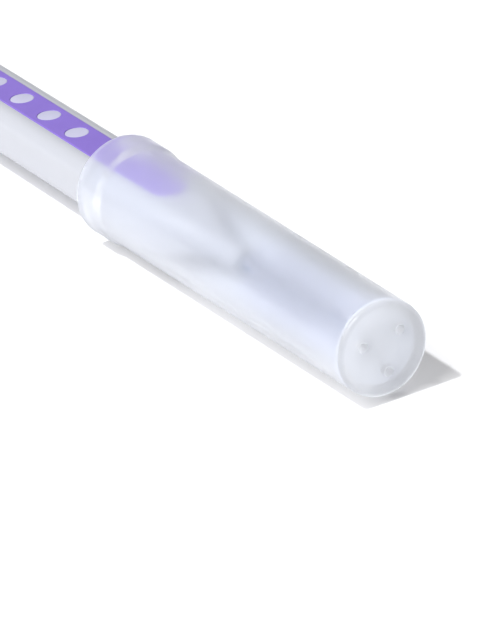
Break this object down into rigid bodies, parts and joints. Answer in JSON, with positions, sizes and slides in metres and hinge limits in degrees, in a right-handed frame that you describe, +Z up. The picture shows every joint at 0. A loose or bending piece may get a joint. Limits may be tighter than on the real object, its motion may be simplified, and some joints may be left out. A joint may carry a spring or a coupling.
{
  "type": "interdental brush",
  "caption": "Interdental brush: slim white handle with a soft dotted grip strip, twisted wire with nylon bristles, under a frosted pull-off cap.",
  "frame": {"origin": "under the middle of the length, at the height of the lowest line of the cap's collar, which is where the brush rests", "axes": "+X along the brush, from the tail of the handle to the closed end of the cap; +Z up, out of the grip strip"},
  "size_m": [0.095, 0.01, 0.0099],
  "materials": {
    "handle_plastic": "white moulded polypropylene, satin",
    "strip_rubber": "soft purple thermoplastic elastomer, satin",
    "wire_steel": "drawn stainless steel wire, bright",
    "wire_coat": "thin blue plastic coat, glossy",
    "nylon": "clear white nylon filament",
    "frosted_cap": "frosted translucent polypropylene"
  },
  "bodies": {
    "brush": {"handle": "handle_plastic", "grip_strip": "strip_rubber", "core_wire": "wire_steel", "wire_coating": "wire_coat", "bristles": "nylon"},
    "cap": {"cap": "frosted_cap"}
  },
  "joints": [
    {"name": "cap_pull", "type": "slide", "parent": "brush", "child": "cap", "axis": [1, 0, 0], "range_m": [0, 0.048]}
  ]
}
